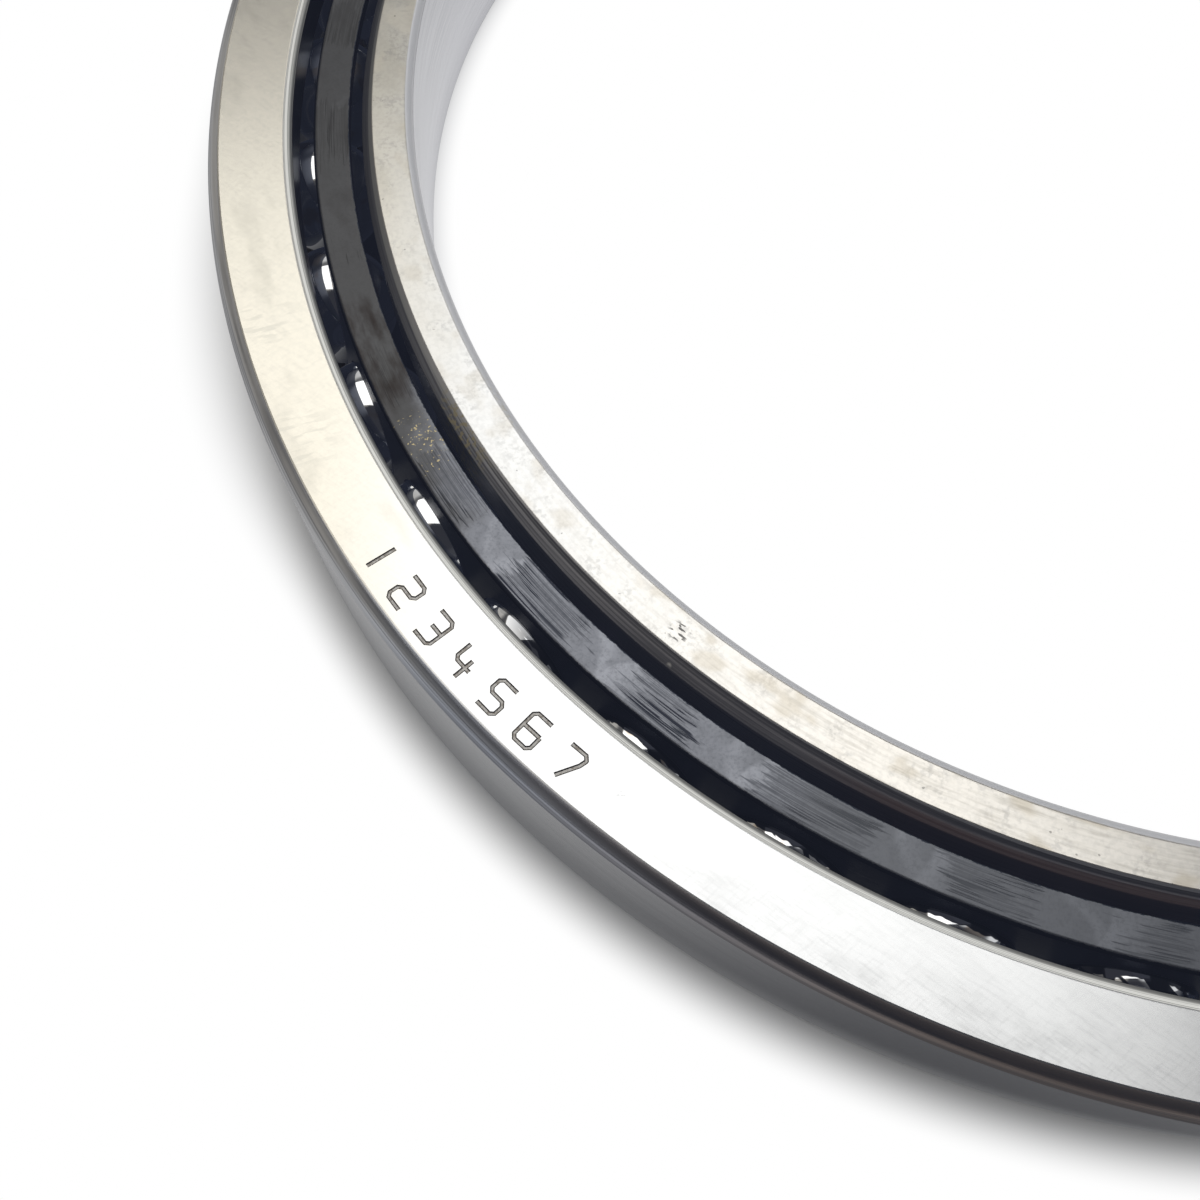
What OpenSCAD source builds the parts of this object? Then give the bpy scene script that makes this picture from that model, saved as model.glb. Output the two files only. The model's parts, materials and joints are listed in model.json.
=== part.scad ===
// Single row angular contact ball bearing of thin section, for a travel motor.
// The axis is Z and the origin lies on it, in the plane of the lower faces.
// The thick side of the outer ring is up, so thrust runs from the lower inner
// side, through the balls, to the upper outer side.

/* [Rings] */
// Diameter of the bore in the inner ring
bore_d = 220; // [180:1:300]
// Height of the bearing's section, from the bore to the outside
section_h = 28; // [26:0.5:34]
// Width of both rings, from face to face
ring_w = 26; // [25:0.5:30]
// Rounding between the faces and the seat on the outer ring's outside
seat_round = 2; // [0.5:0.1:2.5]
// Rounding between the faces and the inner ring's bore
bore_round = 1.2; // [0.5:0.1:2]
// Height of the shoulders that take the thrust, above the bottom of their groove
thrust_shoulder = 5.7; // [4.5:0.1:6.2]
// Height of the relieved shoulders on the other side of each groove
relieved_shoulder = 1.2; // [0.8:0.1:2]
// Width of the chamfer on the lip of the thrust shoulders, along the radius
thrust_chamfer = 1.2; // [0.3:0.1:1.6]
// Slope of that chamfer, from the plane of the face, in degrees
thrust_chamfer_slope = 28; // [20:1:45]
// Chamfer on the lip of the relieved shoulders
relieved_chamfer = 1.6; // [0.3:0.1:1.8]

/* [Balls] */
// Diameter of one ball
ball_d = 15.875; // [15:0.125:16.5]
// Least gap between neighbouring balls; as many balls go in as this allows
ball_gap = 3.5; // [3:0.1:6]
// Angle between the line of contact and the radial plane, in degrees
contact_angle = 40; // [30:1:45]
// Radius of the grooves as a share of the ball diameter
groove_share = 0.52; // [0.515:0.005:0.54]
// Gap between a ball and each groove, along the line of contact
race_gap = 0.1; // [0.05:0.01:0.15]
// Angle of the first ball from the X axis, in degrees
first_ball_at = 5.5; // [0:0.5:8.5]

/* [Cage] */
// Thickness of the pressed sheet
sheet_t = 1.5; // [1:0.1:1.8]
// How far the flange lies below the upper faces of the rings
flange_drop = 1.5; // [1:0.1:2.2]
// Gap between the flange and the relieved shoulder of the inner ring
flange_gap = 1.7; // [0.8:0.1:2.5]
// Height of the skirt's foot above the lower faces of the rings
foot_clear = 1.8; // [1:0.1:2.8]
// Slope of the skirt, which widens towards its foot, in degrees
skirt_slope = 5; // [0:0.5:7]
// Rounding of the bend between flange and skirt, outside and inside
bend_round = 0.6; // [0.3:0.1:0.9]
// Play all round a ball in its window
window_play = 0.2; // [0.1:0.05:0.4]

/* [Hidden] */
// Facets round a ring, a groove or rounding, and a ball or window
ring_fn = 240;
groove_fn = 96;
ball_fn = 64;
// Points along each bend of the cage
bend_steps = 5;
// How far a cutting shape stands proud of what it cuts
proud = 1;

bore_r = bore_d / 2;
outside_r = bore_r + section_h;

// The balls run midway between bore and outside, and midway between the faces
pitch_r = bore_r + section_h / 2;
ball_z = ring_w / 2;
ball_r = ball_d / 2;
ball_count = floor(180 / asin((ball_r + ball_gap / 2) / pitch_r));

function ball_name(k) = str("ball_", k < 10 ? "0" : "", k);

// Each groove's centre lies past the ball's, on the line of contact
groove_r = groove_share * ball_d;
groove_shift = groove_r - ball_r - race_gap;
contact_dir = [cos(contact_angle), sin(contact_angle)];
outer_groove = [pitch_r, ball_z] - groove_shift * contact_dir;
inner_groove = [pitch_r, ball_z] + groove_shift * contact_dir;

outer_thrust_r = outer_groove.x + groove_r - thrust_shoulder;
outer_relieved_r = outer_groove.x + groove_r - relieved_shoulder;
inner_thrust_r = inner_groove.x - groove_r + thrust_shoulder;
inner_relieved_r = inner_groove.x - groove_r + relieved_shoulder;
thrust_chamfer_h = thrust_chamfer * tan(thrust_chamfer_slope);

// The cage's skirt passes through the balls' centres
flange_top = ring_w - flange_drop;
flange_under = flange_top - sheet_t;
flange_r = inner_relieved_r + flange_gap;
skirt_half = sheet_t / 2 / cos(skirt_slope);
window_d = ball_d + 2 * window_play;
function skirt_r(z) = pitch_r + (ball_z - z) * tan(skirt_slope);

// Distance from a corner of the sheet to where its rounding starts
bend_reach = bend_round / tan((90 + skirt_slope) / 2);
function arc(centre, radius, from, to) = [
    for (i = [0 : bend_steps])
        let (a = from + (to - from) * i / bend_steps)
        centre + radius * [cos(a), sin(a)]
];

// What a rounding takes off a square corner; side points from the corner into the metal
module round_off(corner, radius, side) {
    difference() {
        translate(corner + side * (radius - proud) / 2) square(radius + proud, center = true);
        translate(corner + side * radius) circle(radius, $fn = groove_fn);
    }
}

module groove(centre) {
    translate(centre) circle(groove_r, $fn = groove_fn);
}

module outer_ring_section() {
    difference() {
        polygon([
            [outside_r, 0],
            [outside_r, ring_w],
            [outer_thrust_r + thrust_chamfer, ring_w],
            [outer_thrust_r, ring_w - thrust_chamfer_h],
            [outer_thrust_r, outer_groove.y],
            [outer_relieved_r, outer_groove.y],
            [outer_relieved_r, relieved_chamfer],
            [outer_relieved_r + relieved_chamfer, 0]
        ]);
        groove(outer_groove);
        round_off([outside_r, 0], seat_round, [-1, 1]);
        round_off([outside_r, ring_w], seat_round, [-1, -1]);
    }
}

module inner_ring_section() {
    difference() {
        polygon([
            [bore_r, 0],
            [inner_thrust_r - thrust_chamfer, 0],
            [inner_thrust_r, thrust_chamfer_h],
            [inner_thrust_r, inner_groove.y],
            [inner_relieved_r, inner_groove.y],
            [inner_relieved_r, ring_w - relieved_chamfer],
            [inner_relieved_r - relieved_chamfer, ring_w],
            [bore_r, ring_w]
        ]);
        groove(inner_groove);
        round_off([bore_r, 0], bore_round, [1, 1]);
        round_off([bore_r, ring_w], bore_round, [1, -1]);
    }
}

// Flat flange turned inwards, then the bend, then the skirt that holds the windows
module cage_section() {
    outer_corner = [skirt_r(flange_top) + skirt_half, flange_top];
    inner_corner = [skirt_r(flange_under) - skirt_half, flange_under];
    polygon(concat(
        [[flange_r, flange_top]],
        arc(outer_corner + [-bend_reach, -bend_round], bend_round, 90, skirt_slope),
        [[skirt_r(foot_clear) + skirt_half, foot_clear]],
        [[skirt_r(foot_clear) - skirt_half, foot_clear]],
        arc(inner_corner + [-bend_reach, -bend_round], bend_round, skirt_slope, 90),
        [[flange_r, flange_under]]
    ));
}

// Puts its children at the centre of ball k, with X pointing away from the axis
module at_ball(k) {
    rotate(first_ball_at + (k - 1) * 360 / ball_count) translate([pitch_r, 0, ball_z]) children();
}

module outer_ring() {
    color([0.82, 0.82, 0.80]) rotate_extrude($fn = ring_fn) outer_ring_section();
}

module inner_ring() {
    color([0.80, 0.79, 0.76]) rotate_extrude($fn = ring_fn) inner_ring_section();
}

module cage() {
    color([0.30, 0.30, 0.31]) difference() {
        rotate_extrude($fn = ring_fn) cage_section();
        for (k = [1 : ball_count])
            at_ball(k) rotate([0, 90, 0]) cylinder(h = ball_d, d = window_d, center = true, $fn = ball_fn);
    }
}

module ball(k) {
    color([0.88, 0.89, 0.91]) at_ball(k) sphere(d = ball_d, $fn = ball_fn);
}

outer_ring();
inner_ring();
cage();
for (k = [1 : ball_count])
    ball(k);
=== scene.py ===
import bpy
import json
import math
from mathutils import Matrix, Vector


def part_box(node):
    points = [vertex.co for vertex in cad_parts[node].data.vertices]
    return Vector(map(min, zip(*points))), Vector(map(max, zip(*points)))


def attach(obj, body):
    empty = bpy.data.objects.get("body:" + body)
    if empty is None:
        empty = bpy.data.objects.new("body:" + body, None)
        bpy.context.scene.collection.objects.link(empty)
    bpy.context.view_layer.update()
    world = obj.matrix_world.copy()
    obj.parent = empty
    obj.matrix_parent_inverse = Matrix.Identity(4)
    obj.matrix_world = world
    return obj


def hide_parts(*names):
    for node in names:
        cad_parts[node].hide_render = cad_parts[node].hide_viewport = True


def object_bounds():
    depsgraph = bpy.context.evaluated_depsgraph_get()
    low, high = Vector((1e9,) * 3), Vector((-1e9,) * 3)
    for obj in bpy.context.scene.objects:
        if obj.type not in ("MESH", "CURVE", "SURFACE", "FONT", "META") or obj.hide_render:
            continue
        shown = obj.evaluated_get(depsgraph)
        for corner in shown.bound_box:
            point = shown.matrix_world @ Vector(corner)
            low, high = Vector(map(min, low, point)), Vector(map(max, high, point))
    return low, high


# A thin angular contact ball bearing that lies flat, with the thick side of its outer ring up
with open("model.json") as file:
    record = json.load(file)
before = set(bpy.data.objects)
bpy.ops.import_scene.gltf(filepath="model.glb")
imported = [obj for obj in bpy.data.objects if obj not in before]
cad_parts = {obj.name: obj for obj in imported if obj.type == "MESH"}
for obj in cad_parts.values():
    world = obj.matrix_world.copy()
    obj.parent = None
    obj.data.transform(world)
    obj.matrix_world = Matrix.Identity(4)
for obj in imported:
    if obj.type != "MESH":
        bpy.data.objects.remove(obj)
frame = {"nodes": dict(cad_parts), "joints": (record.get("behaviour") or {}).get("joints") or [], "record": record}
cadBox = [list(corner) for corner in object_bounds()]
print("stage: frame loaded, box", cadBox)

mm = 0.001  # all lengths are in metres
samePoint = 0.001 * mm  # points closer than this are one

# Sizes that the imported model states
mounts = {m["name"]: m for m in frame["record"]["mounts"]}
joints = {j["name"]: j for j in frame["joints"]}
boreR = mounts["bore"]["dims"]["r_mm"] * mm
outsideR = mounts["housing_seat"]["dims"]["r_mm"] * mm
ringTop = cadBox[1][2]
firstSpot = joints["ball_01_spin"]["pos_m"]
firstBall = math.atan2(firstSpot[1], firstSpot[0])
pitchR = Vector(firstSpot).xy.length
ballZ = firstSpot[2]
ballLow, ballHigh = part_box("ball_01")
ballR = (ballHigh.z - ballLow.z) / 2
ballNames = sorted(name for name in frame["nodes"] if name.startswith("ball_"))
ballStep = 2 * math.pi / len(ballNames)

# Along X the room's light changes from the far left to the near right, and colours below are painted lighter or
# darker along it as painted light and shade
room = {
    "leftStart": -96 * mm,
    "leftFull": -118 * mm,
    "rightMiddle": -35 * mm,
    "rightReach": 75 * mm,
    "rightFull": 10 * mm,
}


# Shader maths as Python: a wire carries a number, a colour or a vector from one socket
class Wire:
    def __init__(self, nodes, socket):
        self.nodes = nodes
        self.socket = socket

    def other(self, name):
        return Wire(self.nodes, self.socket.node.outputs[name])

    def __add__(self, b):
        return self.nodes.maths("ADD", self, b)

    def __radd__(self, b):
        return self.nodes.maths("ADD", b, self)

    def __sub__(self, b):
        return self.nodes.maths("SUBTRACT", self, b)

    def __rsub__(self, b):
        return self.nodes.maths("SUBTRACT", b, self)

    def __mul__(self, b):
        return self.nodes.maths("MULTIPLY", self, b)

    def __rmul__(self, b):
        return self.nodes.maths("MULTIPLY", b, self)

    def __truediv__(self, b):
        return self.nodes.maths("DIVIDE", self, b)

    def __rtruediv__(self, b):
        return self.nodes.maths("DIVIDE", b, self)

    def __pow__(self, b):
        return self.nodes.maths("POWER", self, b)

    def __abs__(self):
        return self.nodes.maths("ABSOLUTE", self)


# The few kinds of node that the finishes, the floor and the studio are made of
class Nodes:
    def __init__(self, tree):
        self.tree = tree

    def node(self, kind, settings, inputs, output=0):
        made = self.tree.nodes.new(kind)
        for key, value in settings.items():
            setattr(made, key, value)
        for key, value in inputs.items():
            if isinstance(value, Wire):
                self.tree.links.new(value.socket, made.inputs[key])
            else:
                made.inputs[key].default_value = value
        return Wire(self, made.outputs[output])

    def maths(self, operation, a, b=0.0):
        return self.node("ShaderNodeMath", {"operation": operation}, {0: a, 1: b})

    def most(self, a, b):
        return self.maths("MAXIMUM", a, b)

    def ramp(self, value, low, high, start=0.0, end=1.0):
        return self.node("ShaderNodeMapRange", {"interpolation_type": "SMOOTHSTEP"},
                         {0: value, 1: low, 2: high, 3: start, 4: end})

    def mix(self, factor, a, b):
        # Colour sockets of the Mix node are its inputs 6 and 7 and its output 2
        return self.node("ShaderNodeMix", {"data_type": "RGBA"}, {0: factor, 6: a, 7: b}, 2)

    def noise(self, vector, scale, detail):
        return self.node("ShaderNodeTexNoise", {}, {"Vector": vector, "Scale": scale, "Detail": detail,
                                                    "Roughness": 0.55})

    def vector(self, x, y, z):
        return self.node("ShaderNodeCombineXYZ", {}, {0: x, 1: y, 2: z})

    def split(self, vector):
        x = self.node("ShaderNodeSeparateXYZ", {}, {0: vector})
        return x, x.other("Y"), x.other("Z")

    def place(self):
        return self.node("ShaderNodeTexCoord", {}, {}, "Object")

    def nearRight(self, x):
        # One in the middle of the near right side, and zero away from it
        return self.ramp(abs(x - room["rightMiddle"]), room["rightReach"], room["rightFull"])

    def toEye(self):
        return self.node("ShaderNodeLightPath", {}, {}, "Is Camera Ray")

    def seen(self):
        # One where the eye meets a surface, straight or in a mirror, and zero for soft bounced light
        eye = self.toEye()
        return self.most(eye, self.most(eye.other("Is Glossy Ray"), eye.other("Is Transmission Ray")))

    def output(self, shader, kind="ShaderNodeOutputMaterial"):
        old = [n for n in self.tree.nodes if n.bl_idname == kind]
        self.tree.links.new(shader.socket, old[0].inputs["Surface"])


def newMaterial(name):
    material = bpy.data.materials.new(name)
    material.use_nodes = True
    return material


# A faint glow painted on all metals stands in for the light that the lens scatters into their blacks
paintedVeilGlow = {
    "Emission Color": (0.0072, 0.0085, 0.0135, 1),
    "Emission Strength": 1.0,
}


# One metal finish, in coordinates that run round the bearing's axis
class Finish(Nodes):
    heightShare = 1.7  # how much faster turned lines follow each other up a wall than across a face

    def __init__(self, name):
        self.material = newMaterial(name)
        super().__init__(self.material.node_tree)
        self.shader = self.tree.nodes["Principled BSDF"]
        self.at = self.place()
        self.x, self.y, self.z = self.split(self.at)
        self.r = (self.x * self.x + self.y * self.y) ** 0.5
        self.height = abs(self.z - ballZ)
        for key, value in paintedVeilGlow.items():
            self.shader.inputs[key].default_value = value

    def around(self, length, pitch, seed=0.0):
        # One unit is a length round the axis, and a pitch along the turned section
        turns = pitchR / length
        return self.vector(self.x / self.r * turns + seed, self.y / self.r * turns,
                           (self.r + self.z * self.heightShare) / pitch)

    def laid(self, degrees, length, width, seed=0.0):
        # One unit is a length in one direction on the face, and a width across it
        turn = (0, 0, math.radians(degrees))
        turned = self.node("ShaderNodeMapping", {}, {"Vector": self.at, "Rotation": turn})
        x, y, z = self.split(turned)
        return self.vector(x / length + seed, y / width, z / width)

    def on(self, distance):
        # One on a surface, and zero a few hundredths of a millimetre from it
        return self.ramp(abs(distance), 0.03 * mm, 0.01 * mm)

    def near(self, r, degrees, reach, core):
        # One at a place on the ring, given by its radius and angle, and zero from its reach outwards
        across = self.x - r * math.cos(math.radians(degrees))
        along = self.y - r * math.sin(math.radians(degrees))
        return self.ramp((across * across + along * along) ** 0.5, reach * core, reach, 1.0, 0.0)

    def set(self, **sockets):
        for key, value in sockets.items():
            socket = self.shader.inputs["Base Color" if key == "colour" else key.capitalize()]
            if isinstance(value, Wire):
                self.tree.links.new(value.socket, socket)
            else:
                socket.default_value = value

    def bump(self, height, distance):
        return self.node("ShaderNodeBump", {}, {"Height": height, "Distance": distance})


def deselectAll():
    if bpy.context.object and bpy.context.object.mode != "OBJECT":
        bpy.ops.object.mode_set(mode="OBJECT")
    bpy.ops.object.select_all(action="DESELECT")


def makeActive(piece):
    deselectAll()
    piece.select_set(True)
    bpy.context.view_layer.objects.active = piece


def applyModifier(piece, kind, **settings):
    makeActive(piece)
    modifier = piece.modifiers.new(kind.lower(), kind)
    for key, value in settings.items():
        setattr(modifier, key, value)
    bpy.ops.object.modifier_apply(modifier=modifier.name)


def addObject(name, data):
    made = bpy.data.objects.new(name, data)
    bpy.context.scene.collection.objects.link(made)
    return made


def mergePoints():
    bpy.ops.mesh.select_all(action="SELECT")
    bpy.ops.mesh.remove_doubles(threshold=samePoint)


def closeShell():
    # Leaves edit mode with one closed shell whose faces point outwards
    mergePoints()
    bpy.ops.mesh.normals_make_consistent(inside=False)
    bpy.ops.object.mode_set(mode="OBJECT")


# Draws lines from one vertex, as with a pen, by extruding it
class Pen:
    def __init__(self, name, start):
        deselectAll()
        bpy.ops.mesh.primitive_plane_add(size=mm, location=start)
        self.piece = bpy.context.object
        self.piece.name = name
        self.piece.data.name = name
        bpy.ops.object.transform_apply(location=True, rotation=False, scale=False)
        bpy.ops.object.mode_set(mode="EDIT")
        bpy.ops.mesh.select_all(action="SELECT")
        bpy.ops.mesh.merge(type="CENTER")
        self.at = Vector(start)

    def lift(self, start):
        # Goes on with a new line in the same mesh
        bpy.ops.mesh.select_all(action="DESELECT")
        bpy.ops.mesh.primitive_plane_add(size=mm, location=start)
        bpy.ops.mesh.merge(type="CENTER")
        self.at = Vector(start)

    def drawTo(self, end):
        bpy.ops.mesh.extrude_vertices_move(TRANSFORM_OT_translate={"value": Vector(end) - self.at})
        self.at = Vector(end)


# A ring's section in the XZ plane, drawn round and turned about the axis
class Section(Pen):
    def __init__(self, name, r, z):
        super().__init__(name, (r, 0, z))

    def lineTo(self, r, z):
        self.drawTo((r, 0, z))

    def arcTo(self, r, z, centre, steps):
        middle = Vector((centre[0], 0, centre[1]))
        start, end = (self.at - middle).xz, (Vector((r, 0, z)) - middle).xz
        bpy.ops.mesh.spin(steps=steps, angle=-start.angle_signed(end), center=middle, axis=(0, 1, 0))
        self.at = Vector((r, 0, z))

    def breakEdges(self, corners, size, segments=4):
        # A small round at each named corner of the closed outline
        mergePoints()
        bpy.ops.mesh.select_all(action="DESELECT")
        bpy.ops.object.mode_set(mode="OBJECT")
        wanted = [Vector((r, 0, z)) for r, z in corners]
        for vertex in self.piece.data.vertices:
            vertex.select = any((vertex.co - corner).length < 2 * samePoint for corner in wanted)
        bpy.ops.object.mode_set(mode="EDIT")
        bpy.ops.mesh.bevel(offset=size, segments=segments, affect="VERTICES")

    def turn(self, steps):
        mergePoints()
        bpy.ops.mesh.select_all(action="SELECT")
        bpy.ops.mesh.spin(steps=steps, angle=2 * math.pi, center=(0, 0, 0), axis=(0, 0, 1))
        closeShell()
        return self.piece


def settleShading(piece, crispCircles, smoothBelow=35):
    # Circles where two ground surfaces meet at a slight angle stay crisp
    points = piece.data.vertices
    onCircle = [any(math.hypot(p.co.xy.length - r, p.co.z - z) < 5 * samePoint for r, z in crispCircles)
                for p in points]
    makeActive(piece)
    bpy.ops.object.shade_smooth_by_angle(angle=math.radians(smoothBelow))
    for edge in piece.data.edges:
        a, b = edge.vertices
        if onCircle[a] and onCircle[b] and abs(points[a].co.z - points[b].co.z) < samePoint:
            edge.use_edge_sharp = True
    applyModifier(piece, "WEIGHTED_NORMAL", mode="FACE_AREA", weight=100, keep_sharp=True)


# Grooves and shoulders, as the balls and the line of contact set them
groove = {
    "share": 0.52,
    "gap": 0.1 * mm,
    "contact": math.radians(40),
    "thrustShoulder": 5.7 * mm,
    "relievedShoulder": 1.2 * mm,
    "thrustChamfer": 1.2 * mm,
    "thrustSlope": math.radians(28),
    "relievedChamfer": 1.6 * mm,
    "steps": 26,
    "lipRound": 0.12 * mm,
}
grooveR = groove["share"] * 2 * ballR
contactDirection = Vector((math.cos(groove["contact"]), math.sin(groove["contact"])))
grooveShift = (grooveR - ballR - groove["gap"]) * contactDirection
outerGroove = Vector((pitchR, ballZ)) - grooveShift
innerGroove = Vector((pitchR, ballZ)) + grooveShift
outerThrustR = outerGroove.x + grooveR - groove["thrustShoulder"]
outerRelievedR = outerGroove.x + grooveR - groove["relievedShoulder"]
innerThrustR = innerGroove.x - grooveR + groove["thrustShoulder"]
innerRelievedR = innerGroove.x - grooveR + groove["relievedShoulder"]
thrustLip = groove["thrustChamfer"]
thrustLipZ = thrustLip * math.tan(groove["thrustSlope"])
relievedLip = groove["relievedChamfer"]


def grooveZ(centre, r, side):
    return centre.y + side * math.sqrt(grooveR ** 2 - (r - centre.x) ** 2)


def flipped(point):
    return Vector((point.x, ringTop - point.y))


outerSize = {"corner": 1.93 * mm, "cornerSteps": 12, "turns": 480}
innerSize = {"corner": 1.15 * mm, "cornerSteps": 9, "turns": 480}
cornerMeet = math.radians(10)  # angle of the slight edge that grinding leaves at each end of a corner


def cornerArc(seatR, side, leg):
    # Where the rounded corner leaves the face and the seat, and the centre of its arc
    bend = leg * math.sqrt(2) / (2 * math.sin(math.pi / 4 - cornerMeet))
    inset = leg + bend * math.sin(cornerMeet)
    centre = Vector((seatR - side * inset, ringTop - bend * math.cos(cornerMeet)))
    return Vector((seatR - side * leg, ringTop)), Vector((seatR, ringTop - leg)), centre


def turnRing(name, size, seatR, side, centre, above, below):
    # The corners above and below the groove come from the upper face down
    onFace, onSeat, middle = cornerArc(seatR, side, size["corner"])
    outline = Section(name, *flipped(onSeat))
    outline.lineTo(*onSeat)
    outline.arcTo(*onFace, middle, size["cornerSteps"])
    for corner in above:
        outline.lineTo(*corner)
    outline.arcTo(*below[0], centre, groove["steps"])
    for corner in below[1:]:
        outline.lineTo(*corner)
    outline.lineTo(*flipped(onFace))
    outline.arcTo(*flipped(onSeat), flipped(middle), size["cornerSteps"])
    outline.breakEdges(above + below, groove["lipRound"])
    return outline.turn(size["turns"]), [onFace, onSeat, flipped(onFace), flipped(onSeat)]


def makeOuterRing():
    thrustR, relievedR = outerThrustR, outerRelievedR
    above = [(thrustR + thrustLip, ringTop), (thrustR, ringTop - thrustLipZ),
             (thrustR, grooveZ(outerGroove, thrustR, 1))]
    below = [(relievedR, grooveZ(outerGroove, relievedR, -1)), (relievedR, relievedLip),
             (relievedR + relievedLip, 0)]
    return turnRing("outerRing", outerSize, outsideR, 1, outerGroove, above, below)


def makeInnerRing():
    thrustR, relievedR = innerThrustR, innerRelievedR
    above = [(relievedR - relievedLip, ringTop), (relievedR, ringTop - relievedLip),
             (relievedR, grooveZ(innerGroove, relievedR, 1))]
    below = [(thrustR, grooveZ(innerGroove, thrustR, -1)), (thrustR, thrustLipZ),
             (thrustR - thrustLip, 0)]
    return turnRing("innerRing", innerSize, boreR, -1, innerGroove, above, below)


# Plain digits from one to seven, cut into the outer ring's face with their tops towards the axis
digits = {
    "radius": 132.9 * mm,
    "firstAt": -145.2,
    "step": 2.35,
    "halfTall": 1.9 * mm,
    "halfWide": 1.22 * mm,
    "corner": 0.42 * mm,
    "toolR": 0.40 * mm,
    "toolAbove": 0.27 * mm,
    "toolResolution": 3,
}
# Each stroke's points, in half widths and half heights from the middle of its digit
mainStrokes = [
    [(0, -1), (0, 1)],
    [(-1, 1), (1, 1), (1, 0), (-1, 0), (-1, -1), (1, -1)],
    [(-1, 1), (1, 1), (1, -1), (-1, -1)],
    [(-1, 1), (-1, -0.2), (1, -0.2)],
    [(1, 1), (-1, 1), (-1, 0), (1, 0), (1, -1), (-1, -1)],
    [(1, 1), (-1, 1), (-1, -1), (1, -1), (1, 0)],
    [(-1, 1), (1, 1), (1, 0.5), (-0.3, -1)],
]
crossStrokes = [None, None, [(-0.4, 0), (1, 0)], [(0.4, 0.4), (0.4, -1)], None, [(1, 0), (-1, 0)], None]


def softened(points, cut):
    # Slants every corner of a stroke off
    made = [points[0]]
    for before, corner, after in zip(points, points[1:], points[2:]):
        made.append(corner + (before - corner).normalized() * cut)
        made.append(corner + (after - corner).normalized() * cut)
    return made + [points[-1]]


def cutStrokes(ring, strokes, etched):
    # A round bar bent along each stroke, cut into the face
    pen = None
    for number, stroke in enumerate(strokes):
        if not stroke:
            continue
        at = math.radians(digits["firstAt"] + number * digits["step"])
        out = Vector((math.cos(at), math.sin(at), 0))
        along = Vector((-math.sin(at), math.cos(at), 0))
        flat = [Vector((x * digits["halfWide"], y * digits["halfTall"])) for x, y in stroke]
        up = Vector((0, 0, ringTop + digits["toolAbove"]))
        route = [out * (digits["radius"] - p.y) + along * p.x + up
                 for p in softened(flat, digits["corner"])]
        if pen:
            pen.lift(route[0])
        else:
            pen = Pen("digitTool", route[0])
        for point in route[1:]:
            pen.drawTo(point)
    deselectAll()
    makeActive(pen.piece)
    bpy.ops.object.convert(target="CURVE")
    tool = bpy.context.object
    tool.data.bevel_depth = digits["toolR"]
    tool.data.bevel_resolution = digits["toolResolution"]
    tool.data.use_fill_caps = True
    bpy.ops.object.convert(target="MESH")
    tool = bpy.context.object
    tool.data.materials.append(etched)
    bpy.ops.object.mode_set(mode="EDIT")
    closeShell()
    applyModifier(ring, "BOOLEAN", operation="DIFFERENCE", object=tool, solver="MANIFOLD",
                  material_mode="TRANSFER")
    bpy.data.objects.remove(tool)


def cutDigits(ring, etched):
    # The strokes that cross or close a digit come second, so that no tool runs through itself
    cutStrokes(ring, mainStrokes, etched)
    cutStrokes(ring, crossStrokes, etched)


cageSize = {
    "sheet": 1.5 * mm,
    "flangeDrop": 1.5 * mm,
    "flangeGap": 1.7 * mm,
    "footClear": 1.8 * mm,
    "slope": math.radians(5),
    "bend": 0.6 * mm,
    "windowPlay": 0.2 * mm,
    "turns": 960,
    "windowSides": 64,
    "edgeBreak": 0.15 * mm,
    "edgeSegments": 2,
    "outerBendSteps": 5,
    "innerBendSteps": 4,
    "smoothBelow": 40,
}
flangeTop = ringTop - cageSize["flangeDrop"]
flangeR = innerRelievedR + cageSize["flangeGap"]
skirtHalf = cageSize["sheet"] / 2 / math.cos(cageSize["slope"])


def skirtR(z):
    return pitchR + (ballZ - z) * math.tan(cageSize["slope"])


def makeCage():
    size = cageSize
    slope, bend = size["slope"], size["bend"]
    under = flangeTop - size["sheet"]
    reach = bend / math.tan((math.pi / 2 + slope) / 2)

    def bendEnd(side, z):
        # Centre of the bend at one side of the sheet, and where it meets the skirt
        centre = Vector((skirtR(z) + side * skirtHalf - reach, z - bend))
        return centre, centre + bend * Vector((math.cos(slope), math.sin(slope)))

    outside, outsideEnd = bendEnd(1, flangeTop)
    inside, insideEnd = bendEnd(-1, under)
    foot = size["footClear"]
    footOut, footIn = (skirtR(foot) + skirtHalf, foot), (skirtR(foot) - skirtHalf, foot)
    outline = Section("cage", flangeR, flangeTop)
    outline.lineTo(outside.x, flangeTop)
    outline.arcTo(*outsideEnd, outside, size["outerBendSteps"])
    outline.lineTo(*footOut)
    outline.lineTo(*footIn)
    outline.lineTo(*insideEnd)
    outline.arcTo(inside.x, under, inside, size["innerBendSteps"])
    outline.lineTo(flangeR, under)
    outline.lineTo(flangeR, flangeTop)
    outline.breakEdges([(flangeR, flangeTop), (flangeR, under), footOut, footIn],
                       size["edgeBreak"], size["edgeSegments"])
    cage = outline.turn(size["turns"])

    # One punch, copied round the row, cuts the windows
    deselectAll()
    bpy.ops.mesh.primitive_cylinder_add(vertices=size["windowSides"], radius=ballR + size["windowPlay"],
                                        depth=2 * ballR, location=(pitchR, 0, ballZ),
                                        rotation=(0, math.pi / 2, 0))
    punch = bpy.context.object
    bpy.ops.object.transform_apply(location=True, rotation=True, scale=True)
    bpy.ops.object.mode_set(mode="EDIT")
    bpy.ops.mesh.select_all(action="SELECT")
    bpy.ops.transform.rotate(value=-firstBall, orient_axis="Z", center_override=(0, 0, 0))
    bpy.ops.mesh.select_all(action="SELECT")
    bpy.ops.mesh.spin(steps=len(ballNames), dupli=True, angle=2 * math.pi, center=(0, 0, 0), axis=(0, 0, 1))
    closeShell()
    applyModifier(cage, "BOOLEAN", operation="DIFFERENCE", object=punch, solver="MANIFOLD")
    bpy.data.objects.remove(punch)
    return cage


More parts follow.
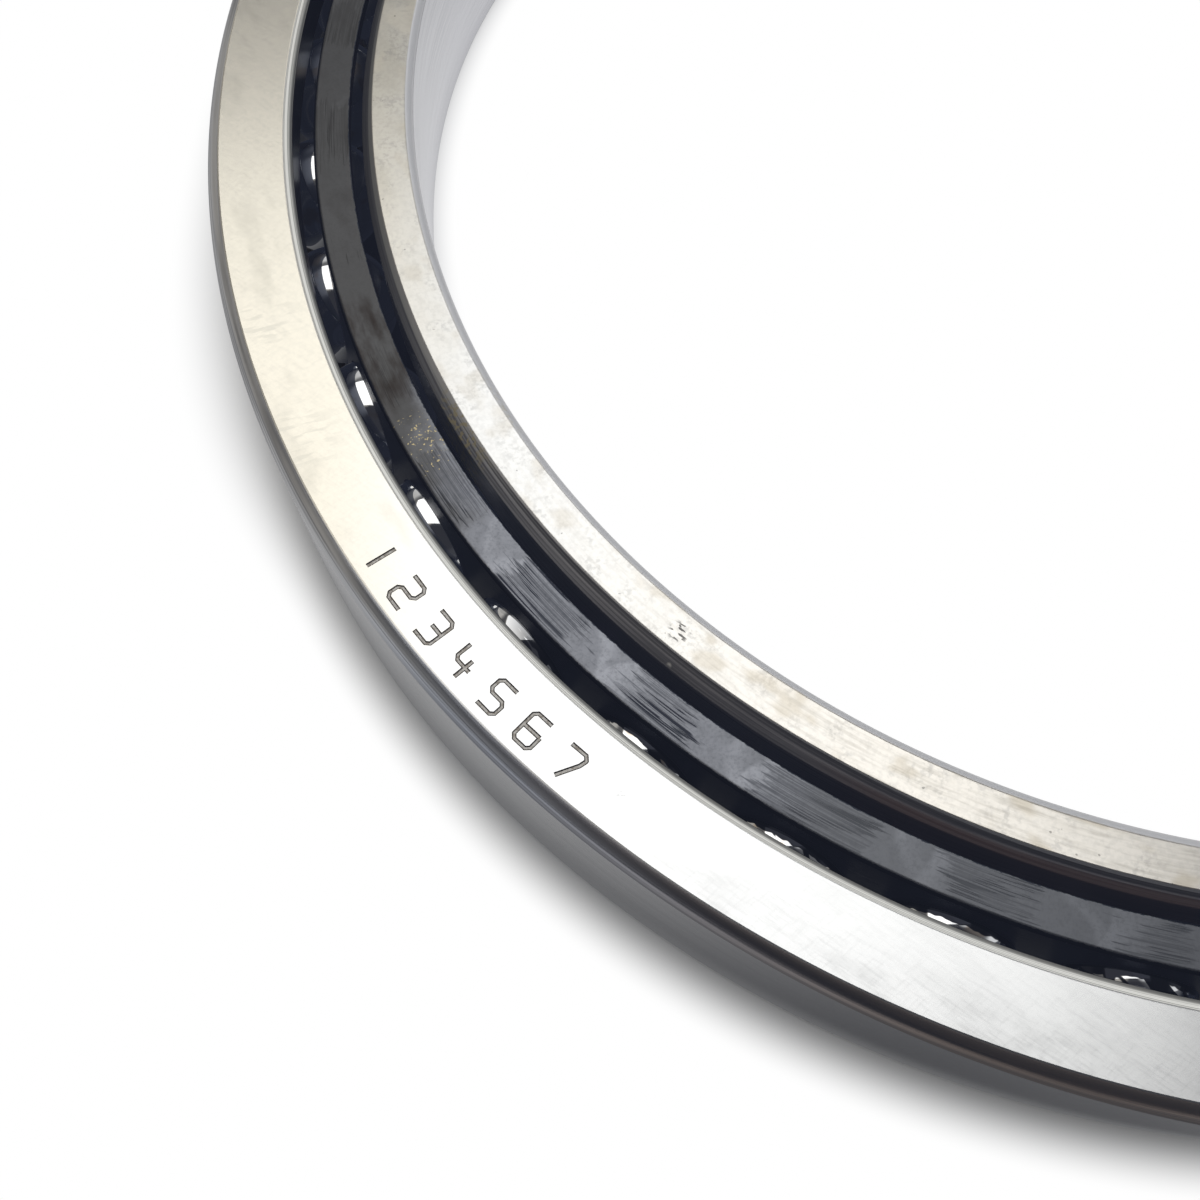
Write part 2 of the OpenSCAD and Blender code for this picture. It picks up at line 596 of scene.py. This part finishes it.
ballCuts = 23  # along each edge of the cube that a ball is blown up from


def makeBalls():
    # A cube cut fine and blown up into a ball gives even faces with no poles
    deselectAll()
    bpy.ops.mesh.primitive_cube_add(size=ballR)
    first = bpy.context.object
    bpy.ops.object.mode_set(mode="EDIT")
    bpy.ops.mesh.select_all(action="SELECT")
    bpy.ops.mesh.subdivide(number_cuts=ballCuts)
    bpy.ops.mesh.select_all(action="SELECT")
    bpy.ops.transform.tosphere(value=1)
    bpy.ops.object.mode_set(mode="OBJECT")
    grow = ballR / max(v.co.length for v in first.data.vertices)
    bpy.ops.object.mode_set(mode="EDIT")
    bpy.ops.mesh.select_all(action="SELECT")
    bpy.ops.transform.resize(value=(grow, grow, grow))
    bpy.ops.object.mode_set(mode="OBJECT")
    bpy.ops.object.shade_smooth()
    balls = []
    for name in ballNames:
        ball = addObject(name.replace("ball_", "bearingBall"), first.data.copy())
        ball.data.transform(Matrix.Translation(joints[name + "_spin"]["pos_m"]))
        balls.append(ball)
    bpy.data.objects.remove(first)
    return balls


# What the finishes of both rings share
ringLook = {
    "turnedLine": (0.055, 0.056, 0.06, 1),
    "seatLine": (0.10, 0.10, 0.105, 1),
    "landReach": 6.5 * mm,
    "seatRoughness": 0.26,
    "trackRoughness": 0.16,
    "relief": 0.006 * mm,
}

# Colours of the ground face, the turned corners and lands, the ground seat, the groove and the marks; the side
# colours, the lands, the groove, the corner and the lip carry painted light and shade.
# A single mark's place is its radius, its angle, its reach and the share of that where it is full
outerLook = {
    "face": (0.52, 0.52, 0.515, 1),
    "faceRight": (0.465, 0.465, 0.455, 1),
    "cream": (0.475, 0.45, 0.385, 1),
    "cloudy": (0.395, 0.375, 0.32, 1),
    "turned": (0.31, 0.335, 0.385, 1),
    "turnedLeft": (0.42, 0.42, 0.42, 1),
    "turnedRight": (0.215, 0.175, 0.150, 1),
    "seat": (0.60, 0.60, 0.60, 1),
    "seatRight": (0.17, 0.17, 0.175, 1),
    "track": (0.26, 0.26, 0.27, 1),
    "land": (0.075, 0.08, 0.095, 1),
    "cornerRoughness": 0.34,
    "faceRoughness": 0.27,
    "cornerEnd": (0.075, 0.073, 0.073, 1),
    "cornerCrown": (0.40, 0.34, 0.29, 1),
    "wallFoot": (0.62, 0.62, 0.62, 1),
    "lipLow": (0.10, 0.10, 0.095, 1),
    "lipHigh": (0.84, 0.83, 0.77, 1),
    "lipLine": (0.22, 0.215, 0.195, 1),
    "polishMark": (0.20, 0.20, 0.195, 1),
    "wipe": (0.33, 0.32, 0.28, 1),
    "wipeOne": (134.2 * mm, -153.4, 7 * mm, 0.2),
    "wipeTwo": (133 * mm, -161, 6 * mm, 0.2),
    "scuff": (0.30, 0.30, 0.30, 1),
    "scuffAt": (131.9 * mm, -128.35, 0.7 * mm, 0.5),
}


def ringZones(f, seatR, centre):
    # Masks of the two flat faces, the ground seat and the groove; what is left was only turned
    half = ringTop / 2
    face = f.ramp(f.height, half - 0.06 * mm, half - 0.02 * mm)
    across, up = f.r - centre.x, f.z - centre.y
    return face, f.on(f.r - seatR), f.on((across * across + up * up) ** 0.5 - grooveR)


def ringMetal(f, look, seatR, centre):
    face, seat, track = ringZones(f, seatR, centre)
    land = f.ramp(abs(f.r - pitchR), ringLook["landReach"], ringLook["landReach"] - 0.2 * mm)
    right = f.nearRight(f.x)
    left = f.ramp(f.x, room["leftStart"], room["leftFull"])
    cloud = f.noise(f.laid(62, 16 * mm, 7 * mm), 1, 3)
    lines = f.noise(f.around(30 * mm, 0.15 * mm), 1, 2)

    # Painted light and shade: the face, the turned parts and the seat get lighter or darker copies of their
    # colours towards the right and the left, and the cloudy pattern shows only on the left
    ground = f.mix(right, look["face"], look["faceRight"])
    ground = f.mix(left, ground, look["cream"])
    ground = f.mix(left * f.ramp(cloud, 0.48, 0.66, 0.0, 0.85), ground, look["cloudy"])
    turned = f.mix(right, look["turned"], look["turnedRight"])
    turned = f.mix(left, turned, look["turnedLeft"])
    turned = f.mix(f.ramp(lines, 0.40, 0.66, 0.0, 0.6), turned, ringLook["turnedLine"])
    seatTone = f.mix(right, look["seat"], look["seatRight"])
    seatTone = f.mix(f.ramp(lines, 0.42, 0.66, 0.0, 0.4), seatTone, ringLook["seatLine"])

    # The lands and the groove beside the balls are painted dark, a painted shade in the gap between the rings
    colour = f.mix(land, turned, look["land"])
    colour = f.mix(face, colour, ground)
    colour = f.mix(track, colour, look["track"])
    colour = f.mix(seat, colour, seatTone)
    base = look["cornerRoughness"]
    rough = base - face * (base - look["faceRoughness"])
    rough = rough - seat * (base - ringLook["seatRoughness"]) - track * (base - ringLook["trackRoughness"])
    relief = (1 - face) * (1 - track) * lines
    return colour, rough, relief, face, right, left


def outerFinish():
    f = Finish("groundOuterSteel")
    look = outerLook
    colour, rough, relief, face, right, left = ringMetal(f, look, outsideR, outerGroove)
    f.shader.inputs["Specular Tint"].default_value = (0.5, 0.5, 0.5, 1)

    # Painted on the outer corner: a dark painted shade where it ends on the wall, a paler painted reflection
    # beside the face towards the right, and a lighter painted reflection low on the wall towards the right
    depth = outsideR - f.r
    under = f.ramp(depth, 0.5 * mm, 0.15 * mm) * f.ramp(depth, 0.005 * mm, 0.015 * mm)
    colour = f.mix(under * (1 - left) * 0.5, colour, look["cornerEnd"])
    crown = f.ramp(depth, 0.7 * mm, 1.4 * mm) * f.ramp(depth, 3 * mm, 2 * mm) * (1 - face)
    colour = f.mix(crown * right * 0.6, colour, look["cornerCrown"])
    foot = f.ramp(depth, 0.03 * mm, 0.01 * mm) * f.ramp(f.z, 11 * mm, 2 * mm)
    colour = f.mix(foot * right * 0.8, colour, look["wallFoot"])

    # The lip of the thrust shoulder was turned finer; its colour runs from a painted shade at its foot by the gap
    # to a painted highlight towards the face
    lipR = outerThrustR + thrustLip
    lipLow = ringTop / 2 - thrustLipZ
    lip = f.ramp(f.r, lipR + 0.21 * mm, lipR + 0.11 * mm)
    lip = lip * f.ramp(f.height, lipLow - 0.11 * mm, lipLow - 0.03 * mm)
    fine = f.noise(f.around(90 * mm, 0.21 * mm, 2.0), 1, 1)
    rise = f.ramp(f.r, outerThrustR + 0.16 * mm, outerThrustR + 0.71 * mm)
    lipTone = f.mix(rise, look["lipLow"], look["lipHigh"])
    lipTone = f.mix(f.ramp(fine, 0.42, 0.58, 0.0, 0.62), lipTone, look["lipLine"])
    colour = f.mix(lip * (1 - face), colour, lipTone)

    # Short soft strokes left by hand polishing, and a fine haze of grinding marks
    strokes = f.noise(f.laid(35, 2.6 * mm, 0.34 * mm), 1, 3)
    crossed = f.noise(f.laid(-38, 2.2 * mm, 0.36 * mm, 4.2), 1, 3)
    haze = f.noise(f.at, 1700, 2)
    worn = f.noise(f.laid(30, 9 * mm, 3.6 * mm, 2.0), 1, 3)
    edge = f.ramp(f.r, 129 * mm, 136 * mm, 0.35, 1.0)
    marks = (f.ramp(strokes, 0.42, 0.72) + f.ramp(crossed, 0.46, 0.76) * 0.7) * 0.2
    shade = marks + f.ramp(worn, 0.44, 0.68, 0.0, 0.22) + f.ramp(haze, 0.4, 0.7, 0.0, 0.03)
    shade = right * edge * shade + left * (marks * 0.35 + f.ramp(haze, 0.4, 0.7, 0.0, 0.07))
    colour = f.mix(face * shade, colour, look["polishMark"])

    # Wiped marks of oil, and one faint scuff
    wipe = f.ramp(f.noise(f.laid(-18, 4 * mm, 0.9 * mm, 1.7), 1, 2), 0.5, 0.62)
    wipe = wipe * (f.near(*look["wipeOne"]) + f.near(*look["wipeTwo"]))
    colour = f.mix(face * wipe * 0.45, colour, look["wipe"])
    scuff = f.near(*look["scuffAt"]) * f.ramp(f.noise(f.at, 3500, 1), 0.5, 0.6)
    colour = f.mix(scuff * 0.5, colour, look["scuff"])

    f.set(colour=colour, metallic=1.0, roughness=rough,
          normal=f.bump(relief + face * (strokes + crossed) * 0.15, ringLook["relief"]))
    return f.material


# The inner ring's side colours, lands, groove, bore, chamfer, crests and chip also carry painted light and shade
innerLook = {
    "face": (0.455, 0.455, 0.445, 1),
    "faceRight": (0.475, 0.452, 0.408, 1),
    "cream": (0.385, 0.362, 0.308, 1),
    "cloudy": (0.35, 0.33, 0.28, 1),
    "turned": (0.36, 0.365, 0.385, 1),
    "turnedLeft": (0.10, 0.10, 0.105, 1),
    "turnedRight": (0.58, 0.55, 0.56, 1),
    "seat": (0.405, 0.405, 0.425, 1),
    "seatRight": (0.405, 0.405, 0.425, 1),
    "track": (0.26, 0.26, 0.27, 1),
    "land": (0.06, 0.063, 0.075, 1),
    "cornerRoughness": 0.5,
    "faceRoughness": 0.30,
    "boreLow": (0.64, 0.64, 0.67, 1),
    "boreCorner": (0.50, 0.50, 0.505, 1),
    "chamferLow": (0.03, 0.03, 0.035, 1),
    "chamferOil": (0.25, 0.14, 0.105, 1),
    "crest": (0.50, 0.50, 0.50, 1),
    "crestLeft": (0.22, 0.22, 0.21, 1),
    "toolLine": (0.05, 0.05, 0.052, 1),
    "oldOil": (0.36, 0.31, 0.18, 1),
    "oldOilAt": (115.8 * mm, -150, 8 * mm, 0.2),
    "mottle": (0.17, 0.17, 0.165, 1),
    "wornPatch": (0.36, 0.315, 0.235, 1),
    "streak": (0.20, 0.185, 0.155, 1),
    "dirt": (0.04, 0.038, 0.035, 1),
    "dirtAt": (113.4 * mm, -131.5, 1.6 * mm, 0.5),
    "chip": (0.75, 0.73, 0.68, 1),
    "chipAt": (117.0 * mm, -130.8, 0.48 * mm, 0.5),
}


def innerFinish():
    f = Finish("groundInnerSteel")
    look = innerLook
    colour, rough, relief, face, right, left = ringMetal(f, look, boreR, innerGroove)

    # The bore is painted paler low down, a painted reflection of the floor, and its rounded corner is dull with a
    # pale painted highlight
    low = f.on(f.r - boreR) * f.ramp(f.z, 22 * mm, 3 * mm)
    colour = f.mix(low * 0.4, colour, look["boreLow"])
    corner = f.ramp(f.r, boreR + 1.3 * mm, boreR + 1.15 * mm)
    corner = corner * f.ramp(f.r, boreR + 0.02 * mm, boreR + 0.06 * mm)
    colour = f.mix(corner * (1 - face), colour, look["boreCorner"])

    # Below its rim the chamfer is painted darker, a painted shade towards the gap, and reddish with oil towards
    # the right
    rimR = innerRelievedR - relievedLip
    deepPart = f.ramp(f.r, rimR + 0.69 * mm, rimR + 0.99 * mm) * (1 - face)
    sideTone = f.ramp(f.x, -64 * mm, -50 * mm) * f.ramp(f.x, 60 * mm, 20 * mm)
    colour = f.mix(deepPart * 0.35, colour, look["chamferLow"])
    colour = f.mix(deepPart * sideTone * 0.6, colour, look["chamferOil"])

    # Deeper tool marks close to the face, their crests painted darker on the left as painted shade, and a stain of
    # old oil on them
    rim = f.ramp(f.r, rimR - 0.16 * mm, rimR - 0.01 * mm) * f.ramp(f.r, rimR + 0.79 * mm, rimR + 0.59 * mm)
    rim = rim * (1 - face)
    cut = f.ramp(f.noise(f.around(90 * mm, 0.2 * mm, 2.0), 1, 0), 0.42, 0.58)
    colour = f.mix(rim * (1 - cut) * 0.8, colour, f.mix(left, look["crest"], look["crestLeft"]))
    colour = f.mix(rim * cut * 0.75, colour, look["toolLine"])
    stain = f.ramp(f.noise(f.at, 1500, 3), 0.47, 0.6) * f.near(*look["oldOilAt"]) * (1 - face)
    colour = f.mix(stain * 0.75, colour, look["oldOil"])

    # Fine mottling all over the face, yellowish worn patches, and streaks round the axis towards the right
    mottle = f.noise(f.at, 1900, 3)
    blotch = f.ramp(f.noise(f.at, 330, 3), 0.46, 0.66)
    patch = f.ramp(f.noise(f.around(7 * mm, 4 * mm), 1, 2), 0.50, 0.64)
    streak = f.noise(f.around(6 * mm, 0.45 * mm, 3.0), 1, 3)
    colour = f.mix(face * f.ramp(mottle, 0.40, 0.66) * (0.13 + blotch * 0.24), colour, look["mottle"])
    colour = f.mix(face * patch * (0.18 + right * 0.3), colour, look["wornPatch"])
    colour = f.mix(face * (right * 0.32 + 0.05) * f.ramp(streak, 0.42, 0.72), colour, look["streak"])

    # A cluster of dirt, a few dark dots and a chip with a painted glint
    dirt = f.ramp(f.noise(f.laid(40, 0.9 * mm, 0.30 * mm), 1, 1), 0.54, 0.60) * f.near(*look["dirtAt"])
    dots = f.ramp(f.noise(f.at, 1700, 0), 0.82, 0.85) * f.ramp(f.r, boreR + 2.6 * mm, boreR + 3 * mm) * 0.6
    colour = f.mix(face * f.most(dirt, dots) * 0.9, colour, look["dirt"])
    chip = f.near(*look["chipAt"]) * f.ramp(f.z, ringTop - 1.5 * mm, ringTop - 1.1 * mm)
    colour = f.mix(chip, colour, look["chip"])

    f.set(colour=colour, metallic=1.0, roughness=rough + face * patch * 0.05 + chip * 0.3,
          normal=f.bump(relief + rim * cut + face * mottle * 0.35, ringLook["relief"]))
    return f.material


etchedLook = {
    "bottom": (0.30, 0.29, 0.27, 1),
    "edge": (0.075, 0.066, 0.055, 1),
    "burn": (0.11, 0.09, 0.065, 1),
    "roughness": 0.5,
}


def etchedFinish():
    # The bottom of each cut is paler, its edges are painted dark as a painted shade on the cut's walls, and burnt
    # spots darken it at random
    f = Finish("etchedLine")
    look = etchedLook
    rise = f.ramp(f.z, ringTop - 0.11 * mm, ringTop - 0.05 * mm)
    burnt = f.noise(f.at, 2600, 3)
    colour = f.mix(rise, look["bottom"], look["edge"])
    colour = f.mix(f.ramp(burnt, 0.42, 0.66, 0.0, 0.7), colour, look["burn"])
    f.set(colour=colour, metallic=1.0, roughness=look["roughness"], normal=f.bump(burnt, 0.01 * mm))
    return f.material


cageLook = {
    "sheet": (0.136, 0.140, 0.152, 1),
    "pale": (0.21, 0.216, 0.233, 1),
    "left": (0.037, 0.0355, 0.031, 1),
    "right": (0.066, 0.068, 0.070, 1),
    "black": (0.013, 0.0145, 0.019, 1),
    "grain": (0.055, 0.057, 0.062, 1),
    "line": (0.035, 0.037, 0.042, 1),
    "thinLine": (0.03, 0.032, 0.037, 1),
    "smudge": (0.020, 0.016, 0.012, 1),
    "smudgeAt": (121.5 * mm, -157.5, 13 * mm, 0.3),
    "grit": (0.30, 0.25, 0.14, 1),
    "gritAt": (120.5 * mm, -150.4),
    "gritReach": 5 * mm,
    "brightFrom": 0.10 * mm,  # from the flange's inner edge
    "brightTo": 0.327 * mm,  # from its outer edge
    "rag": 0.16 * mm,
}


def cageFinish():
    f = Finish("blackenedSheet")
    look = cageLook
    phase = (f.maths("ARCTAN2", f.y, f.x) - firstBall) / ballStep
    beat = f.maths("COSINE", phase * (2 * math.pi))
    inward = (f.r - flangeR) / (5 * mm)

    # Between the balls the sheet was rubbed smooth, and beside them it shows long tool marks
    wander = f.noise(f.around(22 * mm, 30 * mm), 1, 2) - 0.5
    ragged = f.noise(f.around(5 * mm, 0.35 * mm, 2.0), 1, 2) - 0.5
    marked = f.ramp(beat * 0.32 + wander * 3.0 + ragged * 1.1, -0.02, 0.12)
    lines = f.noise(f.around(13 * mm, 0.15 * mm, 5.0), 1, 1)
    thin = f.noise(f.around(9 * mm, 0.09 * mm, 7.0), 1, 1)
    bundle = f.ramp(f.noise(f.around(10 * mm, 1.3 * mm, 9.0), 1, 1), 0.46, 0.60)
    deep = f.ramp(lines, 0.52, 0.57) * bundle
    grain = f.noise(f.at, 3000, 3)
    mottle = f.noise(f.at, 650, 3)

    # Pale fans, slanted across the sheet, where the light catches it beside each ball
    bow = (f.noise(f.around(9 * mm, 8 * mm, 3.0), 1, 1) - 0.5) * 0.5
    along = f.maths("FRACT", phase + 0.30 + bow + inward * 0.16)
    fan = f.ramp(along, 0.0, 0.045) * f.ramp(along, 0.42, 0.06)
    second = f.maths("FRACT", phase + 0.60 + bow * 1.4 - inward * 0.13)
    fan = f.most(fan, 0.7 * f.ramp(second, 0.0, 0.07) * f.ramp(second, 0.26, 0.08))
    fan = fan * f.ramp(wander, -0.12, 0.12, 0.35, 1.0)

    speckle = f.ramp(grain, 0.42, 0.70, 0.0, 0.30) + f.ramp(mottle, 0.42, 0.68, 0.0, 0.18)
    colour = f.mix(fan * (1 - marked * 0.75), look["sheet"], look["pale"])
    colour = f.mix(speckle, colour, look["grain"])
    colour = f.mix(marked * f.ramp(lines, 0.42, 0.60, 0.0, 0.55), colour, look["line"])
    colour = f.mix(marked * f.ramp(thin, 0.48, 0.57, 0.0, 0.45), colour, look["thinLine"])
    colour = f.mix(marked * deep * 0.95, colour, look["black"])

    # Painted darker towards the right and on the left, both painted shade, and a dark smudge on the left that
    # partly follows that painted shade
    dimmed = f.ramp(f.x, -74 * mm, -58 * mm, 0.0, 0.62) * f.ramp(f.x, 80 * mm, 20 * mm)
    colour = f.mix(dimmed * f.ramp(fan, 0.0, 1.0, 1.0, 0.55), colour, look["right"])
    sideTone = f.ramp(f.x + (f.noise(f.at, 140, 3) - 0.5) * 20 * mm, -98 * mm, -108 * mm)
    colour = f.mix(sideTone * 0.85, colour, look["left"])
    smudge = f.ramp(f.noise(f.laid(70, 7 * mm, 2.6 * mm, 6.0), 1, 3), 0.44, 0.72)
    smudge = smudge * (sideTone * 0.2 + f.near(*look["smudgeAt"]) * 0.8)
    colour = f.mix(smudge, colour, look["smudge"])

    # Grit caught in the oil, thinning out from its middle
    crowd = f.near(*look["gritAt"], look["gritReach"] * 0.92, 0.0) + (f.noise(f.at, 420, 2) - 0.5) * 1.1
    specks = f.ramp(f.noise(f.at, 3000, 1) + crowd * 0.11, 0.69, 0.75)
    colour = f.mix(specks * f.near(*look["gritAt"], look["gritReach"], 0.9), colour, look["grit"])

    # The bright flat ends in a ragged line before either edge, and all the sheet off it is painted near black as
    # painted shade
    raggedR = f.r + (f.noise(f.at, 2400, 2) + f.noise(f.at, 560, 2) - 1) * (2 * look["rag"])
    innerEnd = flangeR + look["brightFrom"]
    outerEnd = skirtR(flangeTop) + skirtHalf - look["brightTo"]
    bright = f.ramp(f.z, flangeTop - 0.12 * mm, flangeTop - 0.07 * mm)
    bright = bright * f.ramp(raggedR, innerEnd, innerEnd + 0.10 * mm)
    bright = bright * f.ramp(raggedR, outerEnd + 0.11 * mm, outerEnd)
    colour = f.mix(bright, look["black"], colour)

    f.set(colour=colour, metallic=1.0, roughness=0.32 + bright * 0.10,
          normal=f.bump(marked * (lines * 0.6 - deep) + grain * 0.35, 0.01 * mm))
    return f.material


ballLook = {
    "steel": (0.57, 0.58, 0.59, 1),
    "steelWarm": (0.62, 0.62, 0.61, 1),
    "stain": (0.42, 0.31, 0.20, 1),
    "oil": (0.010, 0.0105, 0.013, 1),
    "oilAbove": 3 * mm,  # from the middle of the balls
    "bareFrom": 0.78 * mm,  # from their pitch circle
}


def ballFinish():
    f = Finish("lappedSteel")
    look = ballLook
    film = f.noise(f.at, 420, 3)
    # Brownish patches on them are painted reflections of something copper-coloured
    stain = f.ramp(f.noise(f.at, 260, 2), 0.58, 0.66)
    colour = f.mix(film, look["steel"], look["steelWarm"])
    colour = f.mix(stain * 0.6, colour, look["stain"])

    # Away from the left their tops are painted near black, a painted shade for the dark they mirror, but for a
    # ragged strip beside the outer ring where the glints stay, crossed by painted dark breaks
    rag = (f.noise(f.at, 700, 1) - 0.5) * 0.8 * mm
    glintR = pitchR + look["bareFrom"]
    strip = f.ramp(f.r + rag, glintR, glintR + 0.1 * mm)
    thread = f.ramp(f.noise(f.laid(62, 5 * mm, 1.2 * mm), 1, 0), 0.56, 0.59)
    shadeZ = ballZ + look["oilAbove"]
    shadedTop = f.ramp(f.x, -98 * mm, -90 * mm) * f.ramp(f.z, shadeZ, shadeZ + 1 * mm) * (1 - strip * (1 - thread))
    colour = f.mix(shadedTop, colour, look["oil"])
    f.set(colour=colour, metallic=1.0, roughness=f.ramp(film, 0.4, 0.8, 0.03, 0.09))
    return f.material


def dress(piece, body, node, material=None):
    if material:
        piece.data.materials.clear()
        piece.data.materials.append(material)
    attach(piece, body)
    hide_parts(node)


print("stage: rings")
outerRing, outerCircles = makeOuterRing()
innerRing, innerCircles = makeInnerRing()
outerRing.data.materials.append(outerFinish())
cutDigits(outerRing, etchedFinish())
settleShading(outerRing, outerCircles)
settleShading(innerRing, innerCircles)
dress(outerRing, "outer_ring", "outer_ring")
dress(innerRing, "inner_ring", "inner_ring", innerFinish())

print("stage: cage")
cage = makeCage()
settleShading(cage, [], cageSize["smoothBelow"])
dress(cage, "cage", "cage", cageFinish())

print("stage: balls")
lapped = ballFinish()
for name, ball in zip(ballNames, makeBalls()):
    dress(ball, name, name, lapped)

# The camera looks down on the near left quarter of the bearing; the photographed circles of both
# rings gave its place and its directions to the right and up
camera = {
    "place": (-0.0851, -0.1348, 0.1517),
    "right": (0.99996, 0.0, 0.00844),
    "up": (-0.0033, 0.91959, 0.39289),
    "focalOverFrame": 1209 / 1200,
    "sensor": 36.0,
}


def makeCamera():
    lens = bpy.data.cameras.new("photoCamera")
    lens.sensor_width = camera["sensor"]
    lens.lens = camera["sensor"] * camera["focalOverFrame"]
    lens.clip_start = 0.01
    right = Vector(camera["right"]).normalized()
    back = right.cross(Vector(camera["up"])).normalized()
    turn = Matrix((right, back.cross(right), back)).transposed().to_4x4()
    eye = addObject("photoCamera", lens)
    eye.matrix_world = Matrix.Translation(camera["place"]) @ turn
    bpy.context.scene.camera = eye


# One soft box overhead and behind
studio = {
    "lampSize": (1.25, 1.10),
    "lampPlace": (-0.18, 0.40, 1.0),
    "lampRadiance": 1.6,
    "ambient": (0.46, 0.48, 0.51, 1),
}


def makeLamp():
    box = bpy.data.lights.new("softBox", "AREA")
    box.shape = "RECTANGLE"
    box.size, box.size_y = studio["lampSize"]
    box.energy = studio["lampRadiance"] * math.pi * box.size * box.size_y
    lamp = addObject("softBox", box)
    lamp.location = studio["lampPlace"]


# The metal mirrors this half globe, which is dark on its near side
tentLook = {
    "radius": 1.6,
    "left": (0.55, 0.52, 0.47, 1),
    "right": (0.95, 0.96, 0.98, 1),
    "near": (0.06, 0.062, 0.068, 1),
    "above": (0.03, 0.03, 0.035, 1),
    "lampHalf": (0.62, 0.55),
    "lampBlur": (0.08, 0.07),
}


def makeTent():
    look = tentLook
    deselectAll()
    bpy.ops.mesh.primitive_uv_sphere_add(segments=64, ring_count=32, radius=look["radius"])
    tent = bpy.context.object
    tent.name = "studioTent"
    bpy.ops.object.mode_set(mode="EDIT")
    bpy.ops.mesh.select_all(action="SELECT")
    bpy.ops.mesh.bisect(plane_co=(0, 0, 0), plane_no=(0, 0, 1), clear_inner=True)
    bpy.ops.object.mode_set(mode="OBJECT")
    bpy.ops.object.shade_smooth()
    material = newMaterial("tentCloth")
    n = Nodes(material.node_tree)
    x, y, z = n.split(n.place())
    level = (x * x + y * y) ** 0.5 + mm  # never zero, at the top either
    side, near = x / level, -1 * y / level
    cloth = n.mix(n.ramp(side * 0.9 - near * 0.45, -0.6, 0.4), look["left"], look["right"])
    cloth = n.mix(n.ramp(near, 0.35, 0.85), cloth, look["near"])

    # Round the lamp the tent is dim, so that the balls mirror the lamp alone
    lampX, lampY, lampZ = studio["lampPlace"]
    (halfX, halfY), (blurX, blurY) = look["lampHalf"], look["lampBlur"]
    behind = n.ramp(abs(x / z - lampX / lampZ), halfX + blurX, halfX)
    behind = behind * n.ramp(abs(y / z - lampY / lampZ), halfY + blurY, halfY)
    high = n.ramp(z / look["radius"], 0.45, 0.60, 0.0, 0.8) * (1 - behind)
    cloth = n.mix(high, cloth, look["above"])
    n.output(n.node("ShaderNodeEmission", {}, {"Color": cloth, "Strength": 1.0}))
    tent.data.materials.append(material)
    tent.visible_camera = False
    tent.visible_diffuse = False
    tent.visible_shadow = False


white = (1, 1, 1, 1)


def makeWorld():
    world = bpy.data.worlds.new("studio")
    bpy.context.scene.world = world
    world.use_nodes = True
    n = Nodes(world.node_tree)
    colour = n.mix(n.seen(), studio["ambient"], white)
    background = n.node("ShaderNodeBackground", {}, {"Color": colour, "Strength": 1.0})
    n.output(background, "ShaderNodeOutputWorld")


# The shadow shows on the floor within these reaches of the ring, and further from it on the left
floorLook = {
    "size": 6,
    "shadowReach": 7 * mm,
    "leftShadowReach": 13 * mm,
    "leftFrom": -122 * mm,
    "leftFull": -150 * mm,
    "boreShadowReach": 3.5 * mm,
    "shadowInBore": (0.56, 0.555, 0.57, 1),
    "shadowOutside": (0.575, 0.56, 0.54, 1),
    "bounce": (0.9, 0.9, 0.91, 1),
    "dimmed": (0.5, 0.5, 0.5, 1),
    "dimmedFull": 2.6 * mm,
    "litUnder": 0.25,
}


def makeFloor():
    # White to the eye but for the shadow close to the ring, and plainly pale for the light it throws back
    look = floorLook
    deselectAll()
    bpy.ops.mesh.primitive_plane_add(size=look["size"])
    floor = bpy.context.object
    floor.name = "whiteTable"
    material = newMaterial("whiteTable")
    n = Nodes(material.node_tree)
    x, y, z = n.split(n.place())
    r = (x * x + y * y) ** 0.5
    reach = n.ramp(x, look["leftFrom"], look["leftFull"], look["shadowReach"], look["leftShadowReach"])
    lit = n.most(n.ramp(r - outsideR, -0.5 * mm, reach),
                 n.ramp(boreR - r, -5 * mm, look["boreShadowReach"]))

    # The metal finds the floor dimmer beside its near right side, and less dark right under its edge
    mirrored = 1 - n.toEye()
    beside = n.nearRight(x) * n.ramp(r - outsideR, 0, look["dimmedFull"])
    shine = n.mix(mirrored * beside, white, look["dimmed"])
    lit = n.most(lit, mirrored * n.ramp(r, pitchR, outsideR) * look["litUnder"])
    tint = n.mix(n.ramp(r, boreR, outsideR), look["shadowInBore"], look["shadowOutside"])
    shaded = n.node("ShaderNodeBsdfDiffuse", {}, {"Color": n.mix(shine, (0, 0, 0, 1), tint)})
    bright = n.node("ShaderNodeEmission", {}, {"Color": shine, "Strength": 1.0})
    seen = n.node("ShaderNodeMixShader", {}, {0: lit, 1: shaded, 2: bright})
    pale = n.node("ShaderNodeBsdfDiffuse", {}, {"Color": look["bounce"]})
    n.output(n.node("ShaderNodeMixShader", {}, {0: n.seen(), 1: pale, 2: seen}))
    floor.data.materials.append(material)


print("stage: studio")
makeCamera()
makeLamp()
makeTent()
makeWorld()
makeFloor()
bpy.context.scene.view_settings.view_transform = "Standard"
